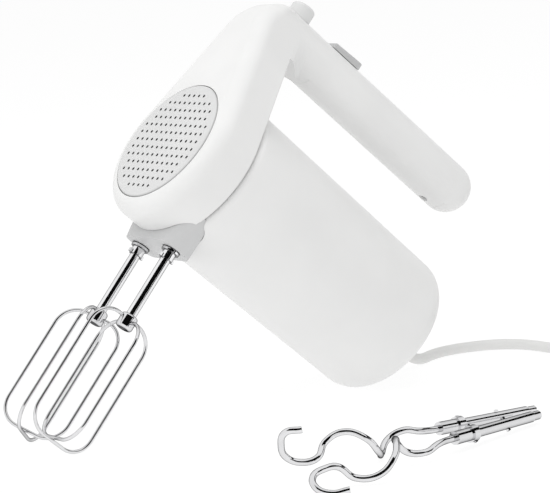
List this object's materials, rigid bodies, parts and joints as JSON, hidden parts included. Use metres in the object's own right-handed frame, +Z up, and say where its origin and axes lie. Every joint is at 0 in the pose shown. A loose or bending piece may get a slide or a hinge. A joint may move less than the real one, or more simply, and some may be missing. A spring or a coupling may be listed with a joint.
{
  "type": "hand mixer",
  "caption": "Slim hand mixer resting on its wire beaters and heel, with a round perforated face, push button, thumb slider, tied lead and a pair of spiral dough hooks beside it.",
  "frame": {"origin": "on the table, under the middle of the mixer and hooks' bounding box", "axes": "+Z up from the table, +Y from the beater tips towards the handle's end, +X to the right when facing the vent grille"},
  "size_m": [0.254, 0.4517, 0.2281],
  "materials": {
    "white_body": "satin",
    "grey_trim": "satin",
    "chrome_wire": "polished",
    "steel": "machined",
    "iron_core": "laminated",
    "copper": "enamelled wire",
    "bronze": "sintered",
    "frame_alloy": "cast",
    "inner_plastic": "moulded",
    "gear_plastic": "moulded",
    "carbon": "pressed carbon",
    "white_cord": "satin",
    "tie_plastic": "satin",
    "brass_pins": "nickel plated"
  },
  "bodies": {
    "mixer_body": {"arm_shell": "white_body", "handle_cover": "white_body", "handle_screw": "steel", "arm_back_plate": "white_body", "vent_grille": "grey_trim", "motor_housing": "white_body", "beater_boss": "grey_trim", "gearbox_frame": "frame_alloy", "body_screws": "steel", "spindle_bushes": "bronze", "front_bearing": "bronze", "rear_bearing": "bronze", "stator_core": "iron_core", "field_coils": "copper", "rear_bracket": "frame_alloy", "carbon_brushes": "carbon", "brush_holders": "inner_plastic", "eject_spring": "steel", "switch_block": "inner_plastic", "cord_gland": "white_cord", "cord_lead": "white_cord", "cord_coil": "white_cord", "cord_tie": "tie_plastic", "plug_body": "white_cord", "plug_pins": "brass_pins"},
    "rotor": {"armature_shaft": "steel", "drive_worm": "steel", "cooling_fan": "inner_plastic", "armature_core": "iron_core", "armature_windings": "copper", "commutator": "copper"},
    "ejector": {"eject_button": "grey_trim", "ejector_rod": "inner_plastic"},
    "slider": {"speed_knob": "grey_trim", "slider_carriage": "inner_plastic"},
    "left_drive": {"left_spindle": "steel", "left_worm_gear": "gear_plastic"},
    "left_beater": {"left_beater_shank": "chrome_wire", "left_drive_collar": "chrome_wire", "left_cage_collar": "chrome_wire", "left_outer_loop": "chrome_wire", "left_inner_loop": "chrome_wire"},
    "left_hook": {"left_hook_wire": "chrome_wire", "left_hook_shank": "chrome_wire", "left_hook_collar": "chrome_wire"},
    "right_drive": {"right_spindle": "steel", "right_worm_gear": "gear_plastic"},
    "right_beater": {"right_beater_shank": "chrome_wire", "right_drive_collar": "chrome_wire", "right_cage_collar": "chrome_wire", "right_outer_loop": "chrome_wire", "right_inner_loop": "chrome_wire"},
    "right_hook": {"right_hook_wire": "chrome_wire", "right_hook_shank": "chrome_wire", "right_hook_collar": "chrome_wire"}
  },
  "joints": [
    {"name": "rotor_spin", "type": "hinge", "parent": "mixer_body", "child": "rotor", "pos_m": [-0.07746, 0.01686, 0.09803], "axis": [0.0346, 0.7351, -0.6771], "continuous": true},
    {"name": "eject_press", "type": "slide", "parent": "mixer_body", "child": "ejector", "axis": [0.0375, -0.678, -0.7341], "range_m": [0, 0.007], "stiffness_N_per_m": 900, "springref_m": -0.006, "deforming": ["eject_spring"]},
    {"name": "speed_slide", "type": "slide", "parent": "mixer_body", "child": "slider", "axis": [-0.0346, -0.7351, 0.6771], "range_m": [0, 0.012]},
    {"name": "left_spindle_spin", "type": "hinge", "parent": "mixer_body", "child": "left_drive", "pos_m": [-0.09469, -0.04216, 0.12169], "axis": [-0.0375, 0.678, 0.7341], "continuous": true},
    {"name": "left_beater_slide", "type": "slide", "parent": "left_drive", "child": "left_beater", "axis": [0.0375, -0.678, -0.7341], "range_m": [0, 0.007]},
    {"name": "left_hook_lift", "type": "slide", "parent": "mixer_body", "child": "left_hook", "axis": [0, 0, 1], "range_m": [0, 0.08]},
    {"name": "right_spindle_spin", "type": "hinge", "parent": "mixer_body", "child": "right_drive", "pos_m": [-0.06273, -0.04216, 0.12332], "axis": [-0.0375, 0.678, 0.7341], "continuous": true},
    {"name": "right_beater_slide", "type": "slide", "parent": "right_drive", "child": "right_beater", "axis": [0.0375, -0.678, -0.7341], "range_m": [0, 0.007]},
    {"name": "right_hook_lift", "type": "slide", "parent": "mixer_body", "child": "right_hook", "axis": [0, 0, 1], "range_m": [0, 0.08]}
  ],
  "couplings": [
    {"joint": "left_spindle_spin", "follows": "rotor_spin", "ratio": -0.045455},
    {"joint": "left_beater_slide", "follows": "eject_press", "ratio": 1},
    {"joint": "right_spindle_spin", "follows": "rotor_spin", "ratio": 0.045455},
    {"joint": "right_beater_slide", "follows": "eject_press", "ratio": 1}
  ]
}
